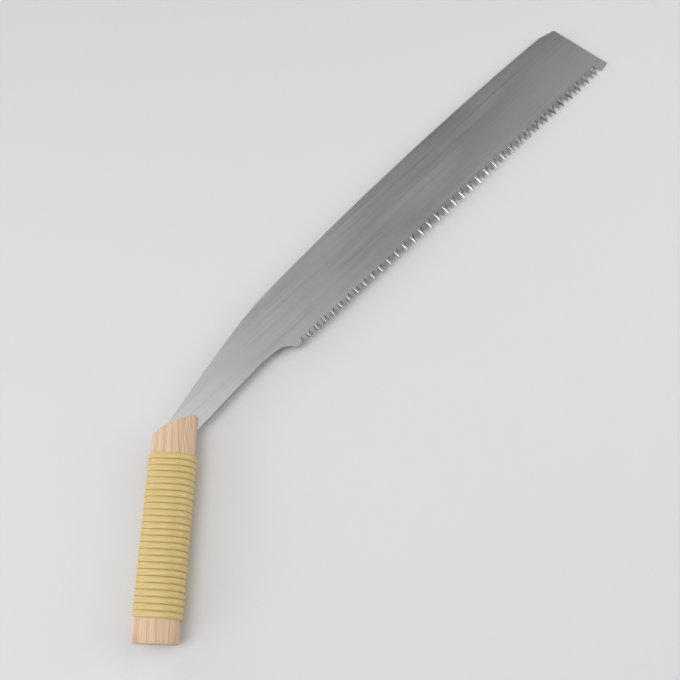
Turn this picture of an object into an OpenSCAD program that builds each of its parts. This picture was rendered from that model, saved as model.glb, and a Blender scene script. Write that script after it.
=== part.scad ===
// Bent-neck pull saw: a toothed steel blade whose tang is clamped between two
// wooden handle halves, nailed through and bound with one rattan strand.
// The handle lies along +Y from its butt face at the origin. The blade lies in
// the XY plane, with its teeth towards +X and its upper side facing +Z.

/* [Handle] */
// Width of the wood, across the handle in the plane of the blade
wood_w = 34.8; // [33:0.2:36.6]
// Thickness of the wood, both halves together
wood_t = 22.4; // [20.2:0.2:24.6]
// Squareness of the handle's section, where 2 is an ellipse
section_power = 2.4; // [2:0.1:3.2]
// Height of the oblique head above the butt, on the back side
head_low = 153.6; // [152:0.2:155]
// Height of the oblique head above the butt, on the tooth side
head_high = 170.1; // [169:0.1:173]
// Outward bow of the oblique head
head_bow = 1.4; // [0.5:0.1:2.5]
// Bevel round the edge of the butt
butt_bevel = 1.4; // [0.5:0.1:2]

/* [Rattan wrap] */
// Number of turns
wrap_turns = 25; // [20:1:25]
// Distance between neighbouring turns
wrap_pitch = 4.85; // [4.5:0.05:4.9]
// Thickness of the strand
strand_t = 1.5; // [1:0.1:2]
// Height of the first turn above the butt, on the under side
wrap_start = 18; // [16:0.1:20]

/* [Blade] */
// Thickness of the steel
blade_t = 1.1; // [0.8:0.1:1.4]
// Length of the cutting side, from heel corner to nose corner
blade_l = 360; // [358:1:370]
// Angle of the cutting side from the X axis
blade_angle = 44.6; // [43:0.1:46]
// Width of the blade where its nose corner is clipped
nose_w = 60.2; // [58:0.1:62]
// Outward bow of the back
back_bow = 4.3; // [2:0.1:6]

/* [Teeth] */
// Number of teeth
tooth_count = 72; // [60:2:72]
// Tooth spacing at the heel
pitch_heel = 4.27; // [4:0.01:4.3]
// Tooth spacing at the nose
pitch_nose = 5.22; // [4.4:0.01:5.22]
// Lean of the steep flank, which faces the handle
front_lean = 10.5; // [8:0.5:14]
// Lean of the shallow flank, which faces the nose
back_lean = 27.3; // [24:0.1:32]
// Slant of the filed flanks across the steel
filing_angle = 45; // [30:1:50]

/* [Hidden] */
$fn = 48;

// Blade: the heel corner, and distances along and in from the cutting side
heel = [93.7, 226.4];
along = [cos(blade_angle), sin(blade_angle)];
inward = [-sin(blade_angle), cos(blade_angle)];
function on_blade(s, m) = heel + s * along + m * inward;
nose_slant = 3.9;
nose_clip_l = 19;
nose_clip_w = 4;
nose_corner = on_blade(blade_l, 0);
nose_top = on_blade(blade_l - nose_slant, nose_w - nose_clip_w);
nose_clip = on_blade(blade_l - nose_clip_l, nose_w);
shoulder = [67.8, 277];
back_steps = 24;

// Neck, from the blade down to the handle
neck_bend = [44.3, 246.4];
neck_back = [-5.8, 166];
neck_front = [61.7, 208.9];
heel_curve = [78.5, 224.6];
neck_bow = 0.6;
bend_bow = 0.7;
throat_bow = -0.6;
heel_bow = -1.9;
curve_steps = 8;

// Tang, hidden in the handle
root_back = [-10.4, 158.4];
root_front = [9.4, 149.1];
tang_back = [-8.5, 148];
tang_front = [7.5, 140];
tang_end = [0, 50];
tang_end_r = 3;

// Slot for the tang, open through the head and its tooth side
slot_gap = 0.2;
slot_t = blade_t + 0.04;
slot_top = 182;
slot_back = [3.4, slot_top];
slot_side = [37.9, slot_top];

// Teeth: their tips stand proud of the line from corner to corner
tip_proud = 2.5;
tip_land = 0.3;
first_tip = 9.6;
pitch_growth = (pitch_nose - pitch_heel) / (2 * tooth_count);
filing_shift = blade_t * tan(filing_angle);
flank_spread = tan(front_lean) + tan(back_lean);
cutter_l = 8;
cutter_over = 1;
heel_land_l = 6;
heel_land_out = 0.5;
nose_land_l = 9;
nose_land_out = 1.6;
first_front_l = 1.5;
function tip_at(k) = first_tip + pitch_heel * k + pitch_growth * k * k;
function gullet_depth(k) = (tip_at(k) - tip_at(k - 1) - tip_land + filing_shift) / flank_spread;

// Nails through handle and tang
nail_r = 1.25;
nail_head_r = 2.5;
nail_head_t = 0.8;
nail_heights = [84, 120];
nail_point_z = -9.7;
nail_top_z = wood_t / 2 - 0.1;
nail_gap = 0.02;
head_hole_over = 1;

// Handle section and head, shared by the wood and the strand that lies on it
section_steps = 32;
head_reach = 6;
head_corner_r = 2.2;
head_front_drop = 0.4;
head_back_rise = 1.4;
head_back_corner = 0.6;
cut_over = 30;

// Strand: a flat-backed, domed section with both ends thinned to a tail
strand_gap = 0.03;
strand_w = wrap_pitch - 0.04;
strand_sides = 4;
strand_edge_t = 0.35;
wrap_steps = wrap_turns * section_steps;
tail_steps = 4;
tail_t = 0.3;

function signed_pow(v, p) = sign(v) * pow(abs(v), p);

// Point on the wood's section, and the direction straight out from it there
function section_point(a) = [
    wood_w / 2 * signed_pow(cos(a), 2 / section_power),
    wood_t / 2 * signed_pow(sin(a), 2 / section_power)];
function section_out(a) =
    let (n = [signed_pow(cos(a), 2 - 2 / section_power) / wood_w,
              signed_pow(sin(a), 2 - 2 / section_power) / wood_t])
    n / norm(n);

// Points on a circular arc from p to q that bows to the right by bow
function arc_points(p, q, bow, steps) =
    let (c = norm(q - p) / 2,
         r = (c * c + bow * bow) / (2 * bow),
         u = (q - p) / (2 * c),
         n = [u[1], -u[0]],
         centre = (p + q) / 2 + (bow - r) * n,
         half = asin(c / r))
    [for (i = [0:steps]) let (a = half * (2 * i / steps - 1)) centre + r * (sin(a) * u + cos(a) * n)];

// Tang and its two root points, back to front, widened on each side by gap
function tang_points(gap) = concat(
    [root_back - [gap, 0], tang_back - [gap, 0]],
    [for (a = [180:30:360]) tang_end + (tang_end_r + gap) * [cos(a), sin(a)]],
    [tang_front + [gap, 0], root_front + [gap, 0]]);

blade_points = concat(
    [heel, on_blade(heel_land_l, -heel_land_out), on_blade(heel_land_l + first_front_l, -tip_proud)],
    [on_blade(tip_at(tooth_count - 1) + tip_land, -tip_proud)],
    [on_blade(blade_l - nose_land_l, -nose_land_out), nose_corner, nose_top],
    arc_points(nose_clip, shoulder, back_bow, back_steps),
    arc_points(shoulder, neck_bend, bend_bow, curve_steps),
    arc_points(neck_bend, neck_back, neck_bow, curve_steps),
    tang_points(0),
    arc_points(neck_front, heel_curve, throat_bow, curve_steps),
    arc_points(heel_curve, heel, heel_bow, curve_steps));

// Plan of the wood: square butt with bevelled corners, bowed oblique head
head_back = [-wood_w / 2, head_low];
head_front = [wood_w / 2, head_high];
wood_points = concat(
    [[-wood_w / 2, butt_bevel], [butt_bevel - wood_w / 2, 0]],
    [[wood_w / 2 - butt_bevel, 0], [wood_w / 2, butt_bevel]],
    [for (a = [0:15:75]) head_front - head_corner_r * [1, 1] + head_corner_r * [cos(a), sin(a)]],
    arc_points(head_front - [head_corner_r, head_front_drop], head_back + [head_corner_r, head_back_rise],
               head_bow, curve_steps),
    [head_back + head_back_corner * [1, -1], head_back - [0, head_corner_r]]);

// Side view of the wood, with the bevels of the butt
wood_side_points = [
    [0, wood_t / 2 - butt_bevel], [butt_bevel, wood_t / 2],
    [head_high + head_reach, wood_t / 2], [head_high + head_reach, -wood_t / 2],
    [butt_bevel, -wood_t / 2], [0, butt_bevel - wood_t / 2]];

// A V prism along the filing direction, cut before tooth k from alternate sides
module gullet(k) {
    depth = gullet_depth(k);
    apex = tip_at(k) - tip_land / 2 + filing_shift / 2 - depth * tan(front_lean);
    slant = (k % 2 == 0) ? -filing_angle : filing_angle;
    reach = depth + cutter_over;
    translate([apex, depth - tip_proud, 0])
        rotate([0, slant, 0])
            linear_extrude(height = cutter_l, center = true)
                polygon([
                    [0, 0],
                    [-reach * tan(back_lean) * cos(slant), -reach],
                    [reach * tan(front_lean) * cos(slant), -reach]]);
}

// Steel plate with its teeth filed alternately from each side
module saw_blade() {
    color([0.62, 0.63, 0.64])
    difference() {
        linear_extrude(height = blade_t, center = true) polygon(blade_points);
        translate([heel[0], heel[1], 0])
            rotate([0, 0, blade_angle])
                for (k = [0:tooth_count]) gullet(k);
        for (y = nail_heights)
            translate([0, y, 0]) cylinder(r = nail_r + nail_gap, h = cutter_l, center = true);
    }
}

// The whole handle blank: section, plan and side view in one
module wood_blank() {
    intersection() {
        rotate([90, 0, 0])
            translate([0, 0, -head_high - head_reach])
                linear_extrude(height = head_high + head_reach)
                    polygon([for (i = [0:section_steps - 1]) section_point(i * 360 / section_steps)]);
        linear_extrude(height = 2 * cut_over, center = true) polygon(wood_points);
        rotate([90, 0, 90])
            linear_extrude(height = 2 * cut_over, center = true) polygon(wood_side_points);
    }
}

// Slot for the tang and the neck's root
module tang_slot() {
    linear_extrude(height = slot_t, center = true)
        polygon(concat([slot_back - [slot_gap, 0]], tang_points(slot_gap), [slot_side]));
}

// One half of the handle, on the side that side names: 1 for upper, -1 for lower
module handle_half(side) {
    difference() {
        wood_blank();
        translate([-cut_over, -cut_over, -cut_over - side * cut_over])
            cube([2 * cut_over, head_high + 2 * cut_over, 2 * cut_over]);
        tang_slot();
        nails(nail_gap);
    }
}

// Nails driven from the upper side, their heads flush with the wood
module nails(gap) {
    for (y = nail_heights) {
        translate([0, y, nail_point_z - gap])
            cylinder(r = nail_r + gap, h = nail_top_z - nail_point_z + gap);
        translate([0, y, nail_top_z - nail_head_t - gap])
            cylinder(r = nail_head_r + gap, h = nail_head_t + gap + (gap > 0 ? head_hole_over : 0));
    }
}

module handle_upper_half() {
    color([0.86, 0.72, 0.60]) handle_half(1);
}

module handle_lower_half() {
    color([0.84, 0.70, 0.58]) handle_half(-1);
}

module tang_nails() {
    color([0.45, 0.45, 0.47]) nails(0);
}

// Share of the strand's full thickness at step i along the wrap
function strand_thickness(i) =
    let (from_end = min(i, wrap_steps - i))
    from_end >= tail_steps ? 1 : tail_t + (1 - tail_t) * from_end / tail_steps;

// Corner j of the strand's section at step i along the wrap
function strand_corner(i, j) =
    let (a = i * 360 / section_steps - 90,
         t = 180 * j / strand_sides,
         edge = (j == 0 || j == strand_sides) ? 0 : strand_edge_t,
         lift = strand_gap + strand_thickness(i) * (edge + (strand_t - strand_edge_t) * sin(t)),
         p = section_point(a) + lift * section_out(a))
    [p[0], wrap_start + wrap_pitch * i / section_steps - strand_w / 2 * cos(t), p[1]];

// One strand, wound round the handle from near the butt to below the head
module rattan_wrap() {
    n = strand_sides + 1;
    last = wrap_steps * n;
    color([0.85, 0.76, 0.46])
    polyhedron(
        points = [for (i = [0:wrap_steps]) for (j = [0:strand_sides]) strand_corner(i, j)],
        faces = concat(
            [[for (j = [0:strand_sides]) j]],
            [[for (j = [strand_sides:-1:0]) last + j]],
            [for (i = [0:wrap_steps - 1]) for (j = [0:strand_sides])
                let (a = i * n + j, b = i * n + (j + 1) % n) each [[a, a + n, b], [b, a + n, b + n]]]));
}

saw_blade();
handle_upper_half();
handle_lower_half();
tang_nails();
rattan_wrap();
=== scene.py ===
"""Looks of the bent-neck pull saw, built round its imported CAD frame."""

import math

import bmesh
import bpy
import numpy as np
from mathutils import Matrix, Vector
from mathutils.geometry import tessellate_polygon


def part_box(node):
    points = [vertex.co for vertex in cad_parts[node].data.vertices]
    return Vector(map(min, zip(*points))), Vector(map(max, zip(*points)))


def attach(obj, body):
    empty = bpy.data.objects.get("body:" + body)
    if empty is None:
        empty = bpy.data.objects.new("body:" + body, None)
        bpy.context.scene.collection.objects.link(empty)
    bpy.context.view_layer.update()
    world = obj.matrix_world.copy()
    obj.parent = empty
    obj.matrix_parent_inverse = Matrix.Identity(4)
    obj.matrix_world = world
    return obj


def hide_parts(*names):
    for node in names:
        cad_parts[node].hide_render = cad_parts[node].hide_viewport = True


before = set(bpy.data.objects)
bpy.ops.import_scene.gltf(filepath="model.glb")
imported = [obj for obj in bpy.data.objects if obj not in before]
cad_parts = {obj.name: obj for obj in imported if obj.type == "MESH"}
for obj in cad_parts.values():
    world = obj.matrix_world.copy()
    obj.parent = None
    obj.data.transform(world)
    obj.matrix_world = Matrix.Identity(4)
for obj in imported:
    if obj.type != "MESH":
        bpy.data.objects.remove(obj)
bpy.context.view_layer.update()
MM = 0.001

# --- Sizes in millimetres, repeated from the CAD ----------------------------

WOOD_W = 34.8
WOOD_T = 22.4
SECTION_POWER = 2.4
HEAD_LOW = 153.6
HEAD_HIGH = 170.1
HEAD_BOW = 1.4
HEAD_BACK_R = 2.2
HEAD_BACK_RISE = 1.4
HEAD_FRONT_DROP = 0.4

WRAP_TURNS = 25
WRAP_PITCH = 4.85
WRAP_START = 18.0
STRAND_T = 1.5
STRAND_W = WRAP_PITCH - 0.04
STRAND_GAP = 0.03

BLADE_T = 1.1
BLADE_L = 360.0
BLADE_ANGLE = math.radians(44.6)
NOSE_W = 60.2
NOSE_SLANT = 3.9
NOSE_CLIP_L = 19.0
NOSE_CLIP_W = 4.0
BACK_BOW = 4.3
BEND_BOW = 0.7
NECK_BOW = 0.6
THROAT_BOW = -0.6
HEEL_BOW = -1.9
HEEL = np.array([93.7, 226.4])
SHOULDER = np.array([67.8, 277.0])
NECK_BEND = np.array([44.3, 246.4])
NECK_BACK = np.array([-5.8, 166.0])
NECK_FRONT = np.array([61.7, 208.9])
HEEL_CURVE = np.array([78.5, 224.6])
ROOT_BACK = np.array([-10.4, 158.4])
ROOT_FRONT = np.array([9.4, 149.1])
TANG_BACK = np.array([-8.5, 148.0])
TANG_FRONT = np.array([7.5, 140.0])
TANG_END = np.array([0.0, 50.0])
TANG_END_R = 3.0
SLOT_GAP = 0.2
SLOT_T = BLADE_T + 0.04
SLOT_BACK = np.array([3.2, 182.0])
SLOT_SIDE = np.array([37.9, 182.0])
NAIL_HEIGHTS = (84.0, 120.0)
NAIL_HOLE_R = 1.27
NAIL_HEAD_HOLE_R = 2.52
NAIL_HEAD_SEAT_Z = 10.28
NAIL_POINT_Z = -9.72

TOOTH_COUNT = 72
TIP_PROUD = 2.5
TIP_LAND = 0.3
FIRST_TIP = 9.6
PITCH_HEEL = 4.27
PITCH_NOSE = 5.22
TAN_FRONT = math.tan(math.radians(10.5))
TAN_BACK = math.tan(math.radians(27.3))
TAN_FILING = math.tan(math.radians(45))
HEEL_LAND = (6.0, 0.5)
NOSE_LAND = (9.0, 1.6)

# Sizes that only the looks have: the set of the teeth, softened edges and
# corners, and the strand's section and tails as shares of its full size
TOOTH_SET = 0.22
BLADE_EDGE = 0.12
BUTT_ROUND = 1.4
HEAD_ROUND = 0.8
HEAD_FRONT_R = 1.5
HEAD_FRONT_SWELL = 0.3
HEAD_BACK_FALL = 1.3
JOINT_GROOVE = 0.14
CUT_TOP_Z = 14.0
STRAND_SIDE = 0.36
TAIL_TURNS = 0.12
TAIL_T = 0.25
TAIL_W = 0.6


# --- Mesh helpers -------------------------------------------------------------

def link(name, mesh):
    """Puts a mesh into the scene as an object."""
    piece = bpy.data.objects.new(name, mesh)
    bpy.context.scene.collection.objects.link(piece)
    return piece


def piece_from(name, points_mm, faces):
    """A piece from points in millimetres and faces, with its normals made consistent."""
    mesh = bpy.data.meshes.new(name)
    mesh.from_pydata([tuple(float(c) * MM for c in p) for p in points_mm], [], faces)
    bm = bmesh.new()
    bm.from_mesh(mesh)
    bmesh.ops.recalc_face_normals(bm, faces=bm.faces)
    bm.to_mesh(mesh)
    bm.free()
    return link(name, mesh)


def smooth(piece, angle):
    """Smooth shading that keeps edges sharper than angle, in degrees."""
    piece.data.shade_smooth()
    piece.data.set_sharp_from_angle(angle=math.radians(angle))


def cut(piece, cutters):
    """Cuts closed pieces out of a piece and keeps the result as its mesh."""
    for cutter in cutters:
        modifier = piece.modifiers.new("cut", "BOOLEAN")
        modifier.operation = "DIFFERENCE"
        modifier.solver = "EXACT"
        modifier.object = cutter
    bpy.context.view_layer.update()
    graph = bpy.context.evaluated_depsgraph_get()
    result = bpy.data.meshes.new_from_object(piece.evaluated_get(graph))
    piece.modifiers.clear()
    piece.data = result
    for cutter in cutters:
        bpy.data.objects.remove(cutter)


def prism(outline, low, high):
    """A closed prism over a plan outline, from height low to height high."""
    n = len(outline)
    points = [(x, y, z) for z in (low, high) for x, y in outline]
    sides = [(i, (i + 1) % n, (i + 1) % n + n, i + n) for i in range(n)]
    return piece_from("cutter", points, [tuple(range(n)), tuple(range(n, 2 * n))] + sides)


def round_prism(centre, radius, low, high, steps=32):
    """A closed round prism along Z."""
    turn = [2 * math.pi * i / steps for i in range(steps)]
    x, y = centre
    return prism([(x + radius * math.cos(a), y + radius * math.sin(a)) for a in turn], low, high)


def arc_points(p, q, bow, steps):
    """Points on a circular arc from p to q that bows to the right by bow."""
    c = np.linalg.norm(q - p) / 2
    r = (c * c + bow * bow) / (2 * bow)
    u = (q - p) / (2 * c)
    n = np.array([u[1], -u[0]])
    centre = (p + q) / 2 + (bow - r) * n
    half = math.asin(c / r)
    turn = [half * (2 * i / steps - 1) for i in range(steps + 1)]
    return [centre + r * (math.sin(a) * u + math.cos(a) * n) for a in turn]


# --- Blade ----------------------------------------------------------------------

ALONG = np.array([math.cos(BLADE_ANGLE), math.sin(BLADE_ANGLE)])
OUTWARD = np.array([math.sin(BLADE_ANGLE), -math.cos(BLADE_ANGLE)])


def on_blade(s, n):
    """Plan point at distance s along the cutting side and n outside it."""
    return HEEL + s * ALONG + n * OUTWARD


def tang_points(gap):
    """Tang and its two root points, back to front, widened on each side by gap."""
    side = np.array([gap, 0.0])
    turn = [math.radians(a) for a in range(180, 361, 30)]
    end = [TANG_END + (TANG_END_R + gap) * np.array([math.cos(a), math.sin(a)]) for a in turn]
    return [ROOT_BACK - side, TANG_BACK - side, *end, TANG_FRONT + side, ROOT_FRONT + side]


def tip_at(k):
    """Distance of tooth k's tip along the cutting side."""
    return FIRST_TIP + PITCH_HEEL * k + (PITCH_NOSE - PITCH_HEEL) / (2 * TOOTH_COUNT) * k * k


def gullet(k):
    """Distance along, distance out and filing direction of the bottom of the gullet before tooth k."""
    shift = BLADE_T * TAN_FILING
    depth = (tip_at(k) - tip_at(k - 1) - TIP_LAND + shift) / (TAN_FRONT + TAN_BACK)
    apex = tip_at(k) - TIP_LAND / 2 + shift / 2 - depth * TAN_FRONT
    return apex, TIP_PROUD - depth, -1 if k % 2 == 0 else 1


def gullet_bottom(k, z):
    apex, out, side = gullet(k)
    return apex + side * z * TAN_FILING, out


def flank_meets(k, z, lean, start, slope):
    """Where the flank of gullet k, at height z, meets a land that starts at start and rises by slope."""
    s, n = gullet_bottom(k, z)
    s0, n0 = start
    # On the flank s = s_bottom + lean * (n - n_bottom), on the land n = n0 + slope * (s - s0)
    meet = (s + lean * (n0 - slope * s0 - n)) / (1 - lean * slope)
    return meet, n0 + slope * (meet - s0)


def blade_rim():
    """Plain rim of the blade in plan, from the nose round the back and tang to the heel."""
    nose_top = on_blade(BLADE_L - NOSE_SLANT, NOSE_CLIP_W - NOSE_W)
    nose_clip = on_blade(BLADE_L - NOSE_CLIP_L, -NOSE_W)
    rim = [on_blade(BLADE_L, 0), nose_top]
    rim += arc_points(nose_clip, SHOULDER, BACK_BOW, 48)
    rim += arc_points(SHOULDER, NECK_BEND, BEND_BOW, 16)[1:]
    rim += arc_points(NECK_BEND, NECK_BACK, NECK_BOW, 16)[1:]
    rim += tang_points(0)
    rim += arc_points(NECK_FRONT, HEEL_CURVE, THROAT_BOW, 12)
    rim += arc_points(HEEL_CURVE, HEEL, HEEL_BOW, 20)[1:]
    return rim


def inset(rim, width):
    """The rim moved inwards by width, with mitred corners; its interior lies to the left."""
    moved = []
    for i, p in enumerate(rim):
        before = p - rim[max(i - 1, 0)]
        after = rim[min(i + 1, len(rim) - 1)] - p
        before = after if i == 0 else before / np.linalg.norm(before)
        after = before if i == len(rim) - 1 else after / np.linalg.norm(after)
        before = before / np.linalg.norm(before)
        a = np.array([-before[1], before[0]])
        b = np.array([-after[1], after[0]])
        mitre = (a + b) / max(1 + float(a @ b), 0.3)
        moved.append(p + width * mitre)
    return moved


class BladeMesh:
    """Collects the blade's points and faces, with a material index for each face."""

    def __init__(self):
        self.points = []
        self.faces = []
        self.kinds = []

    def point(self, plan, z):
        self.points.append((plan[0], plan[1], z))
        return len(self.points) - 1

    def face(self, corners, kind):
        self.faces.append(tuple(corners))
        self.kinds.append(kind)


FLAT, FILED, EDGE = 0, 1, 2


def add_tooth(mesh, k, roots):
    """Tooth k between gullets k and k + 1. roots[side][k] are the gullet bottoms on each side."""
    side = gullet(k)[2]
    half = BLADE_T / 2
    front_s, front_n = gullet_bottom(k, 0)
    back_s, back_n = gullet_bottom(k + 1, 0)

    def front_at(n, z):
        return front_s + side * z * TAN_FILING + TAN_FRONT * (n - front_n)

    def back_at(n, z):
        return back_s - side * z * TAN_FILING - TAN_BACK * (n - back_n)

    wide, narrow = -side * half, side * half
    set_z = -side * TOOTH_SET
    land = back_at(TIP_PROUD, 0) - front_at(TIP_PROUD, 0)
    ridge_z = side * land / (2 * TAN_FILING)
    lost = (back_at(TIP_PROUD, narrow) - front_at(TIP_PROUD, narrow)) / (TAN_FRONT + TAN_BACK)
    top_n = TIP_PROUD + lost
    share = (top_n - front_n) / (TIP_PROUD - front_n)
    tip_front = mesh.point(on_blade(front_at(TIP_PROUD, wide), TIP_PROUD), wide + set_z)
    tip_back = mesh.point(on_blade(back_at(TIP_PROUD, wide), TIP_PROUD), wide + set_z)
    ridge_low = mesh.point(on_blade(front_at(TIP_PROUD, ridge_z), TIP_PROUD), ridge_z + set_z)
    ridge_high = mesh.point(on_blade(front_at(top_n, narrow), top_n), narrow + set_z * share)

    wide_roots, narrow_roots = (roots[0], roots[1]) if side > 0 else (roots[1], roots[0])
    mesh.face((wide_roots[k], tip_front, tip_back, wide_roots[k + 1]), FLAT)
    mesh.face((narrow_roots[k], ridge_high, narrow_roots[k + 1]), FLAT)
    mesh.face((wide_roots[k], tip_front, ridge_low, ridge_high, narrow_roots[k]), FILED)
    mesh.face((wide_roots[k + 1], tip_back, ridge_low, ridge_high, narrow_roots[k + 1]), FILED)
    mesh.face((tip_front, tip_back, ridge_low), FILED)


def make_blade():
    """Steel plate: softened rim, alternately filed and set teeth, holes for the nails."""
    mesh = BladeMesh()
    half = BLADE_T / 2
    heel_slope = HEEL_LAND[1] / HEEL_LAND[0]
    nose_slope = -NOSE_LAND[1] / NOSE_LAND[0]
    nose_start = (BLADE_L - NOSE_LAND[0], NOSE_LAND[1])
    rim = blade_rim()
    inner = inset(rim, BLADE_EDGE)

    # Four rings of points, from the under side to the upper side
    levels = ((-half, inner), (BLADE_EDGE - half, rim), (half - BLADE_EDGE, rim), (half, inner))
    rings = []
    for z, outline in levels:
        nose = flank_meets(TOOTH_COUNT, z, TAN_FRONT, nose_start, nose_slope)
        heel = flank_meets(0, z, -TAN_BACK, (0, 0), heel_slope)
        ring = [mesh.point(on_blade(*nose), z)]
        ring += [mesh.point(p, z) for p in outline]
        ring += [mesh.point(on_blade(*heel), z)]
        rings.append(ring)
    for low, high in zip(rings, rings[1:]):
        for i in range(len(low) - 1):
            mesh.face((low[i], low[i + 1], high[i + 1], high[i]), EDGE)

    # Gullet bottoms on the under and upper side, and the two end flanks
    roots = [[mesh.point(on_blade(*gullet_bottom(k, z)), z) for k in range(TOOTH_COUNT + 1)]
             for z in (-half, half)]
    mesh.face([roots[0][0]] + [ring[-1] for ring in rings] + [roots[1][0]], FILED)
    mesh.face([roots[0][-1]] + [ring[0] for ring in rings] + [roots[1][-1]], FILED)
    for k in range(TOOTH_COUNT):
        add_tooth(mesh, k, roots)

    # The two big sides, filled round the nail holes, and the holes' walls
    steps = 24
    turn = [2 * math.pi * i / steps for i in range(steps)]
    holes = [[[mesh.point((NAIL_HOLE_R * math.cos(a), y + NAIL_HOLE_R * math.sin(a)), z) for a in turn]
              for y in NAIL_HEIGHTS] for z in (-half, half)]
    for low, high in zip(*holes):
        for i in range(steps):
            j = (i + 1) % steps
            mesh.face((low[i], low[j], high[j], high[i]), FLAT)
    for ring, root, hole_rings in ((rings[0], roots[0], holes[0]), (rings[3], roots[1], holes[1])):
        loops = [ring + root] + hole_rings
        order = [i for loop in loops for i in loop]
        polygons = [[Vector(mesh.points[i]) for i in loop] for loop in loops]
        for triangle in tessellate_polygon(polygons):
            mesh.face([order[i] for i in triangle], FLAT)

    blade = piece_from("blade_plate", mesh.points, mesh.faces)
    for polygon, kind in zip(blade.data.polygons, mesh.kinds):
        polygon.material_index = kind
    return blade


# --- Handle halves ----------------------------------------------------------------

def signed_pow(v, p):
    """The power of v's size, with v's sign."""
    return math.copysign(abs(v) ** p, v)


def section_point(a):
    """Point on the wood's section at parameter angle a."""
    return np.array([WOOD_W / 2 * signed_pow(math.cos(a), 2 / SECTION_POWER),
                     WOOD_T / 2 * signed_pow(math.sin(a), 2 / SECTION_POWER)])


def section_out(a):
    """Direction straight out from the wood's section at parameter angle a."""
    n = np.array([signed_pow(math.cos(a), 2 - 2 / SECTION_POWER) / WOOD_W,
                  signed_pow(math.sin(a), 2 - 2 / SECTION_POWER) / WOOD_T])
    return n / np.linalg.norm(n)


def head_height(x):
    """Height of the oblique head above the butt, at x across the handle."""
    back = np.array([-WOOD_W / 2 + HEAD_BACK_R, HEAD_LOW + HEAD_BACK_RISE])
    front = np.array([WOOD_W / 2 - HEAD_FRONT_R, HEAD_HIGH - HEAD_FRONT_DROP])
    c = np.linalg.norm(front - back) / 2
    r = (c * c + HEAD_BOW * HEAD_BOW) / (2 * HEAD_BOW)
    u = (front - back) / (2 * c)
    centre = (front + back) / 2 + (HEAD_BOW - r) * np.array([-u[1], u[0]])
    if x > front[0]:
        reach = min((x - front[0]) / HEAD_FRONT_R, 1)
        swell = HEAD_FRONT_SWELL * reach * (1 - reach)
        return front[1] - HEAD_FRONT_R * (1 - math.sqrt(1 - reach * reach)) + swell
    if x < back[0]:
        reach = min((back[0] - x) / HEAD_BACK_R, 1)
        return back[1] - HEAD_BACK_FALL * reach - HEAD_BACK_R * (1 - math.sqrt(1 - reach * reach))
    return centre[1] + math.sqrt(r * r - (x - centre[0]) ** 2)


def half_section(side, drop, columns):
    """Plan x and height z of a half's outside, from +X over the crown to -X, moved inwards by drop."""
    points = []
    for i in range(columns + 1):
        t = i / columns
        a = math.pi * (t - math.sin(4 * math.pi * t) / (10 * math.pi))
        p = section_point(a) - drop * section_out(a)
        groove = JOINT_GROOVE * max(0.0, 1 - abs(p[1]) / JOINT_GROOVE)
        points.append((p[0] - math.copysign(groove, p[0]), side * max(p[1], 0.0)))
    return points


def make_handle_half(name, side):
    """One half of the handle: bowed oblique head, rounded ends, slot for the tang."""
    columns, fill_rows = 72, 8
    rounding = [math.radians(a) for a in (0, 22.5, 45, 67.5, 90)]
    levels = [("butt", BUTT_ROUND * (1 - math.sin(a)), BUTT_ROUND * (1 - math.cos(a))) for a in rounding]
    levels += [("body", 0.0, share) for share in np.linspace(0.02, 0.98, 40)]
    levels += [("head", HEAD_ROUND * (1 - math.cos(a)), HEAD_ROUND * (1 - math.sin(a))) for a in rounding]

    points, rings = [], []

    def add(x, y, z):
        points.append((x, y, z))
        return len(points) - 1

    for kind, drop, value in levels:
        ring = []
        for x, z in half_section(side, drop, columns):
            top = head_height(x)
            low, high = BUTT_ROUND, top - HEAD_ROUND
            y = {"butt": value, "body": low + (high - low) * value, "head": top - value}[kind]
            ring.append(add(x, y, z))
        rings.append(ring)

    faces = []
    for low, high in zip(rings, rings[1:]):
        faces += [(low[i], low[i + 1], high[i + 1], high[i]) for i in range(columns)]
    # End faces: straight columns from the rim down to the joint
    feet = []
    for rim in (rings[0], rings[-1]):
        grid = [rim]
        for row in range(1, fill_rows + 1):
            share = 1 - row / fill_rows
            line = [add(points[i][0], points[i][1], points[i][2] * share) for i in rim[1:-1]]
            grid.append([rim[0]] + line + [rim[-1]])
        for above, below in zip(grid, grid[1:]):
            for i in range(columns):
                corners = [above[i], above[i + 1], below[i + 1], below[i]]
                faces.append(tuple(dict.fromkeys(corners)))
        feet.append(grid[-1])
    # Joint face: round the butt's foot, up one side, across the head, down the other
    up = [ring[-1] for ring in rings[1:-1]]
    down = [ring[0] for ring in rings[1:-1]]
    faces.append(tuple(feet[0] + up + feet[1][::-1] + down[::-1]))
    half = piece_from(name, points, faces)

    slot = [SLOT_BACK] + tang_points(SLOT_GAP) + [SLOT_SIDE]
    cutters = [prism(slot, -SLOT_T / 2, SLOT_T / 2)]
    for y in NAIL_HEIGHTS:
        cutters.append(round_prism((0, y), NAIL_HOLE_R, NAIL_POINT_Z, CUT_TOP_Z))
        if side > 0:
            cutters.append(round_prism((0, y), NAIL_HEAD_HOLE_R, NAIL_HEAD_SEAT_Z, CUT_TOP_Z))
    cut(half, cutters)
    smooth(half, 32)
    return half


# --- Rattan wrap ----------------------------------------------------------------------

def sway(t, seed):
    """A slow, smooth unevenness between -1 and 1 at t turns along the strand."""
    waves = ((0.37, 0.5), (0.93, 0.3), (2.1, 0.2))
    return sum(w * math.sin(2 * math.pi * f * t + seed * (1 + i)) for i, (f, w) in enumerate(waves))


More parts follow.
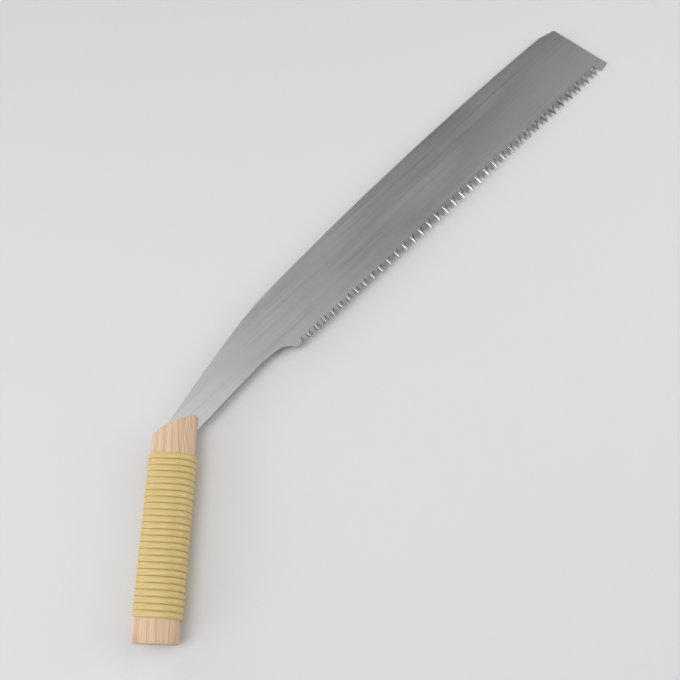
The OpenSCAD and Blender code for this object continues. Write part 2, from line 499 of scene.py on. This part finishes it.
def make_wrap():
    """One strand wound round the handle, its thinned ends lying on the under side."""
    per_turn, across = 144, 14
    count = WRAP_TURNS * per_turn
    points, rings = [], []
    for i in range(count + 1):
        t = i / per_turn
        a = 2 * math.pi * t - math.pi / 2
        full = math.sin(math.pi / 2 * min(min(t, WRAP_TURNS - t) / TAIL_TURNS, 1))
        thick = STRAND_T * (TAIL_T + (1 - TAIL_T) * full) * (1 + 0.015 * sway(t, 1.3))
        width = STRAND_W * (TAIL_W + (1 - TAIL_W) * full)
        base, out = section_point(a), section_out(a)
        centre = WRAP_START + WRAP_PITCH * t
        ring = []
        for j in range(across + 1):
            u = -math.cos(math.pi * j / across)
            # Straight sides up to STRAND_SIDE of the thickness, then a flattened dome
            dome = 0.0 if abs(u) > 0.999 else STRAND_SIDE + (1 - STRAND_SIDE) * (1 - abs(u) ** 2.5) ** 0.5
            p = base + (STRAND_GAP + thick * dome) * out
            ring.append(len(points))
            points.append((p[0], centre + u * width / 2, p[1]))
        rings.append(ring)
    faces = [tuple(rings[0]), tuple(rings[-1])]
    for here, there in zip(rings, rings[1:]):
        faces += [(here[j], here[(j + 1) % (across + 1)], there[(j + 1) % (across + 1)], there[j])
                  for j in range(across + 1)]
    wrap = piece_from("rattan_strand", points, faces)
    smooth(wrap, 55)
    return wrap


# --- Materials ------------------------------------------------------------------------------

class Graph:
    """Short-hand for one material's nodes. An input is a number, a colour or another node's output."""

    def __init__(self, name):
        self.material = bpy.data.materials.new(name)
        self.material.use_nodes = True
        self.tree = self.material.node_tree
        self.shader = self.tree.nodes["Principled BSDF"]

    def feed(self, socket, value):
        if isinstance(value, bpy.types.NodeSocket):
            self.tree.links.new(value, socket)
        else:
            socket.default_value = value

    def node(self, kind, inputs, output=0, **settings):
        made = self.tree.nodes.new(kind)
        for key, value in settings.items():
            setattr(made, key, value)
        for key, value in inputs.items():
            self.feed(made.inputs[key], value)
        return made.outputs[output]

    def math(self, operation, a, b=0.0):
        return self.node("ShaderNodeMath", {0: a, 1: b}, operation=operation)

    def signed_pow(self, value, power):
        """The power of the value's size, with the value's sign."""
        size = self.math("POWER", self.math("ABSOLUTE", value), power)
        return self.math("MULTIPLY", self.math("SIGN", value), size)

    def combine(self, x, y, z):
        return self.node("ShaderNodeCombineXYZ", {0: x, 1: y, 2: z})

    def place(self):
        """Object coordinates as separate x, y and z."""
        where = self.node("ShaderNodeTexCoord", {}, "Object")
        split = self.tree.nodes.new("ShaderNodeSeparateXYZ")
        self.tree.links.new(where, split.inputs[0])
        return split.outputs

    def noise(self, vector, scale=1.0, detail=2.0, rough=0.5):
        return self.node("ShaderNodeTexNoise",
                         {"Vector": vector, "Scale": scale, "Detail": detail, "Roughness": rough}, "Fac")

    def ramp(self, value, stops):
        """Colours or greys between stops of (place, colour)."""
        made = self.tree.nodes.new("ShaderNodeValToRGB")
        self.tree.links.new(value, made.inputs[0])
        elements = made.color_ramp.elements
        while len(elements) < len(stops):
            elements.new(0.5)
        for element, (place, colour) in zip(elements, stops):
            element.position = place
            element.color = (*colour, 1) if isinstance(colour, tuple) else (colour, colour, colour, 1)
        return made.outputs[0]

    def mix(self, share, a, b, blend="MIX"):
        return self.node("ShaderNodeMix", {0: share, 6: a, 7: b}, 2, data_type="RGBA", blend_type=blend)

    def spread(self, value, low, high, to_low, to_high):
        return self.node("ShaderNodeMapRange", {0: value, 1: low, 2: high, 3: to_low, 4: to_high})

    def bump(self, height, strength, distance):
        return self.node("ShaderNodeBump", {"Height": height, "Strength": strength, "Distance": distance})

    def set(self, **values):
        for key, value in values.items():
            self.feed(self.shader.inputs[key.replace("_", " ")], value)


def rgb(r, g, b):
    return (r, g, b, 1.0)


def steel_material(name, tint, roughness, streak):
    """Steel ground along the blade: fine lines, broad streaks and a little waviness."""
    g = Graph(name)
    x, y, z = g.place()
    c, s = float(ALONG[0]), float(ALONG[1])
    along = g.math("ADD", g.math("MULTIPLY", x, c), g.math("MULTIPLY", y, s))
    across = g.math("SUBTRACT", g.math("MULTIPLY", y, c), g.math("MULTIPLY", x, s))
    fine = g.noise(g.combine(g.math("MULTIPLY", along, 11), g.math("MULTIPLY", across, 1900), z), detail=3)
    broad = g.noise(g.combine(g.math("MULTIPLY", along, 4), g.math("MULTIPLY", across, 320), z), detail=3)
    patch = g.noise(g.combine(g.math("MULTIPLY", along, 12), g.math("MULTIPLY", across, 22), z))
    lines = g.math("ADD", g.math("MULTIPLY", fine, 0.65), g.math("MULTIPLY", broad, 0.35))
    light = tuple(v * (1 + streak) for v in tint)
    dark = tuple(v * (1 - streak) for v in tint)
    colour = g.ramp(lines, [(0.36, dark), (0.64, light)])
    rough = g.spread(g.math("ADD", lines, g.math("MULTIPLY", patch, 0.5)), 0.45, 1.0,
                     roughness - 0.05, roughness + 0.07)
    g.set(Base_Color=colour, Metallic=1.0, Roughness=rough, Normal=g.bump(lines, 0.12, 0.00003))
    return g.material


# The stick's place in its tree, in metres: the heart's x and depth under the handle,
# how the rings lean along the handle, and a small knot by the head's tooth side
HEART_X, HEART_DEPTH, RING_LEAN = 0.0105, 0.030, 0.016
RINGS_PER_METRE = 620
KNOT_X, KNOT_Y, KNOT_HALF_W, KNOT_HALF_L, KNOT_PULL = 0.0135, 0.166, 0.0065, 0.016, 0.0034


def wood_material():
    """Pale planed softwood: growth rings that run along the handle, fibres and a darker end grain."""
    g = Graph("planed_softwood")
    x, y, z = g.place()
    bend = g.noise(g.combine(g.math("MULTIPLY", x, 40), g.math("MULTIPLY", y, 9), g.math("MULTIPLY", z, 40)))
    dx = g.math("SUBTRACT", x, HEART_X)
    dz = g.math("ADD", z, HEART_DEPTH)
    radius = g.math("SQRT", g.math("ADD", g.math("MULTIPLY", dx, dx), g.math("MULTIPLY", dz, dz)))
    radius = g.math("SUBTRACT", radius, g.math("MULTIPLY", y, RING_LEAN))
    radius = g.math("ADD", radius, g.math("MULTIPLY", bend, 0.0022))
    # The rings swing round the knot
    knot_x = g.math("DIVIDE", g.math("SUBTRACT", x, KNOT_X), KNOT_HALF_W)
    knot_y = g.math("DIVIDE", g.math("SUBTRACT", y, KNOT_Y), KNOT_HALF_L)
    knot = g.math("ADD", g.math("MULTIPLY", knot_x, knot_x), g.math("MULTIPLY", knot_y, knot_y))
    knot = g.math("EXPONENT", g.math("MULTIPLY", knot, -1))
    radius = g.math("SUBTRACT", radius, g.math("MULTIPLY", knot, KNOT_PULL))
    rings = g.math("MULTIPLY", radius, RINGS_PER_METRE)
    rings = g.math("ADD", rings, g.math("MULTIPLY", g.noise(rings, 0.9, 0.0), 0.9))
    ring = g.math("FRACT", rings)
    strength = g.spread(g.noise(g.combine(g.math("FLOOR", rings), 0.5, 0.5), 1.7, 0.0), 0.3, 0.7, 0.35, 1.0)
    late = g.ramp(ring, [(0.0, 0.0), (0.45, 0.06), (0.80, 0.35), (0.93, 1.0), (0.97, 0.8), (1.0, 0.0)])
    late = g.math("MULTIPLY", late, strength)
    fibre = g.noise(g.combine(g.math("MULTIPLY", x, 2600), g.math("MULTIPLY", y, 45),
                              g.math("MULTIPLY", z, 2600)), detail=3, rough=0.6)
    blotch = g.noise(g.combine(g.math("MULTIPLY", x, 90), g.math("MULTIPLY", y, 14),
                               g.math("MULTIPLY", z, 90)), detail=2)
    pale = g.mix(blotch, rgb(0.92, 0.70, 0.49), rgb(0.86, 0.61, 0.43))
    colour = g.mix(g.math("MULTIPLY", late, 0.85), pale, rgb(0.50, 0.26, 0.13))
    shade = g.ramp(fibre, [(0.25, 0.84), (0.75, 1.0)])
    colour = g.mix(1.0, colour, shade, "MULTIPLY")
    streak = g.noise(g.combine(g.math("MULTIPLY", x, 620), g.math("MULTIPLY", y, 16),
                               g.math("MULTIPLY", z, 620)), detail=3, rough=0.6)
    tint = g.ramp(streak, [(0.34, (0.88, 0.84, 0.80)), (0.62, (1.0, 1.0, 1.0))])
    colour = g.mix(1.0, colour, tint, "MULTIPLY")
    normal = g.node("ShaderNodeTexCoord", {}, "Normal")
    split = g.tree.nodes.new("ShaderNodeSeparateXYZ")
    g.tree.links.new(normal, split.inputs[0])
    end = g.spread(g.math("ABSOLUTE", split.outputs[1]), 0.6, 0.95, 0.0, 0.4)
    colour = g.mix(end, colour, rgb(0.52, 0.33, 0.20))
    height = g.math("ADD", g.math("MULTIPLY", fibre, 0.5), g.math("MULTIPLY", late, 0.5))
    g.set(Base_Color=colour, Roughness=g.spread(fibre, 0.2, 0.8, 0.62, 0.5),
          Normal=g.bump(height, 0.25, 0.0001))
    g.shader.inputs["Specular IOR Level"].default_value = 0.35
    return g.material


def rattan_material():
    """Glossy skin of rattan: tone that drifts along the strand, fibres, and painted shade that darkens the
    strand's edges in the seams between turns.
    """
    g = Graph("rattan_skin")
    x, y, z = g.place()
    # The turn at which the strand passes a point, from the wood's section and the strand's middle
    lift = STRAND_GAP + 0.8 * STRAND_T
    across = g.signed_pow(g.math("DIVIDE", x, (WOOD_W / 2 + lift) * MM), SECTION_POWER / 2)
    over = g.signed_pow(g.math("DIVIDE", z, (WOOD_T / 2 + lift) * MM), SECTION_POWER / 2)
    turn = g.math("DIVIDE", g.math("ARCTAN2", across, g.math("MULTIPLY", over, -1)), 2 * math.pi)
    height = g.math("DIVIDE", g.math("SUBTRACT", y, WRAP_START * MM), WRAP_PITCH * MM)
    wound = g.math("SUBTRACT", height, turn)
    whole = g.math("ROUND", wound)
    side = g.math("SUBTRACT", wound, whole)
    length = g.math("ADD", whole, turn)
    fibre = g.noise(g.combine(g.math("MULTIPLY", side, 34), g.math("MULTIPLY", length, 5), whole), detail=3)
    drift = g.noise(g.combine(g.math("MULTIPLY", length, 1.3), g.math("MULTIPLY", side, 0.8), 3.0), detail=3)
    colour = g.mix(drift, rgb(0.78, 0.60, 0.24), rgb(0.68, 0.50, 0.19))
    colour = g.mix(1.0, colour, g.ramp(fibre, [(0.3, 0.90), (0.7, 1.0)]), "MULTIPLY")
    # Painted shade: the strand is darkened towards its edges, where the turns meet in the seams
    shaded_edge = g.spread(g.math("ABSOLUTE", side), 0.38, 0.5, 0.0, 0.4)
    colour = g.mix(shaded_edge, colour, rgb(0.52, 0.36, 0.12))
    g.set(Base_Color=colour, Roughness=g.spread(fibre, 0.3, 0.7, 0.34, 0.46),
          Normal=g.bump(fibre, 0.15, 0.0001))
    g.shader.inputs["Coat Weight"].default_value = 0.3
    g.shader.inputs["Coat Roughness"].default_value = 0.2
    return g.material


def floor_material():
    """Plain pale backdrop paper."""
    g = Graph("pale_paper")
    x, y, z = g.place()
    tooth = g.noise(g.combine(g.math("MULTIPLY", x, 900), g.math("MULTIPLY", y, 900), z), detail=2)
    colour = g.ramp(tooth, [(0.3, (0.763, 0.763, 0.775)), (0.7, (0.777, 0.777, 0.79))])
    g.set(Base_Color=colour, Roughness=0.85)
    return g.material


# --- Camera, light and floor ------------------------------------------------------------------

VIEW_TARGET = Vector((0.1280, 0.2320, 0.0002))
VIEW_DISTANCE = 0.7186
VIEW_AZIMUTH = math.radians(-21.88)
VIEW_ELEVATION = math.radians(67.78)
VIEW_ROLL = math.radians(21.59)
VIEW_LENS = 48.1


def make_camera():
    """The photograph's viewing angle: from above the handle's butt, rolled so the handle stands upright."""
    forward = Vector((math.sin(VIEW_AZIMUTH) * math.cos(VIEW_ELEVATION),
                      math.cos(VIEW_AZIMUTH) * math.cos(VIEW_ELEVATION),
                      -math.sin(VIEW_ELEVATION)))
    level = forward.cross(Vector((0, 0, 1))).normalized()
    top = level.cross(forward)
    up = math.cos(VIEW_ROLL) * top + math.sin(VIEW_ROLL) * level
    right = forward.cross(up)
    data = bpy.data.cameras.new("camera")
    data.lens = VIEW_LENS
    data.clip_start = 0.01
    camera = bpy.data.objects.new("camera", data)
    place = VIEW_TARGET - VIEW_DISTANCE * forward
    camera.matrix_world = Matrix((right, up, -forward)).transposed().to_4x4()
    camera.location = place
    bpy.context.scene.collection.objects.link(camera)
    bpy.context.scene.camera = camera


# Soft round lights aimed at the saw: degrees from +X towards +Y, degrees above
# the floor, distance and diameter in metres, power in watts
LIGHT_TARGET = Vector((0.13, 0.25, 0.0))
LIGHTS = {
    "left_low": (150, 12, 2.6, 0.98, 12.0),
    "left": (180, 28, 2.6, 1.62, 6.2),
    "far_left_low": (120, 28, 2.6, 1.62, 5.0),
    "far_left": (150, 52, 2.0, 1.25, 1.0),
    "near_left": (210, 56, 1.8, 1.12, 6.2),
    "top_left": (216, 74, 1.6, 1.0, 5.0),
    "top_near": (288, 74, 1.6, 1.0, 1.8),
    "right": (30, 52, 1.6, 1.0, 5.0),
    "right_low": (0, 28, 1.6, 1.0, 7.2),
    "tooth_glint": (216, 14, 1.6, 0.9, 5.8),
}
WORLD_STRENGTH = 0.10


def make_light(name, azimuth, elevation, distance, size, power):
    turn, rise = math.radians(azimuth), math.radians(elevation)
    out = Vector((math.cos(turn) * math.cos(rise), math.sin(turn) * math.cos(rise), math.sin(rise)))
    data = bpy.data.lights.new(name, "AREA")
    data.shape = "DISK"
    data.size = size
    data.energy = power
    light = bpy.data.objects.new(name, data)
    light.location = LIGHT_TARGET + distance * out
    light.rotation_euler = (-out).to_track_quat("-Z", "Y").to_euler()
    bpy.context.scene.collection.objects.link(light)


def make_floor():
    """The saw lies on the wrap's under side and the nose of the blade, so the floor leans with them."""
    wrap_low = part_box("rattan_wrap")[0].z
    blade_low, blade_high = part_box("saw_blade")
    lean = math.atan2(blade_low.z - wrap_low, blade_high.x)
    size = 6.0
    mesh = bpy.data.meshes.new("floor")
    corners = [(-size, -size, 0), (size, -size, 0), (size, size, 0), (-size, size, 0)]
    mesh.from_pydata(corners, [], [(0, 1, 2, 3)])
    mesh.materials.append(floor_material())
    floor = link("floor", mesh)
    floor.location = (0, 0, wrap_low - 0.0002)
    floor.rotation_euler = (0, -lean, 0)


def make_studio():
    world = bpy.data.worlds.new("studio")
    bpy.context.scene.world = world
    world.use_nodes = True
    backdrop = world.node_tree.nodes["Background"]
    backdrop.inputs[0].default_value = rgb(0.98, 0.98, 1.0)
    backdrop.inputs[1].default_value = WORLD_STRENGTH
    for name, values in LIGHTS.items():
        make_light(name, *values)
    make_floor()
    bpy.context.scene.view_settings.view_transform = "Standard"


# --- Assembly -----------------------------------------------------------------------------------

def dress(piece, node, materials):
    """Gives a piece its materials and lets it stand for a CAD node."""
    for material in materials:
        piece.data.materials.append(material)
    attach(piece, "root")
    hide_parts(node)


make_camera()
make_studio()
wood = wood_material()
brushed = steel_material("brushed_steel", (0.60, 0.60, 0.60), 0.40, 0.07)
filed = steel_material("filed_steel", (0.54, 0.54, 0.54), 0.12, 0.03)
# The rim's steel is darker: partly the plate's unground cut edge, partly painted shade for the shadowed
# floor that the rim's sides reflect
shaded_edge = steel_material("shaded_edge_steel", (0.30, 0.30, 0.30), 0.45, 0.05)

dress(make_blade(), "saw_blade", [brushed, filed, shaded_edge])
dress(make_handle_half("wood_upper", 1), "handle_upper_half", [wood])
dress(make_handle_half("wood_lower", -1), "handle_lower_half", [wood])
dress(make_wrap(), "rattan_wrap", [rattan_material()])
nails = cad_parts["tang_nails"]
nails.data.materials.clear()
nails.data.materials.append(steel_material("nail_wire", (0.40, 0.40, 0.42), 0.45, 0.04))
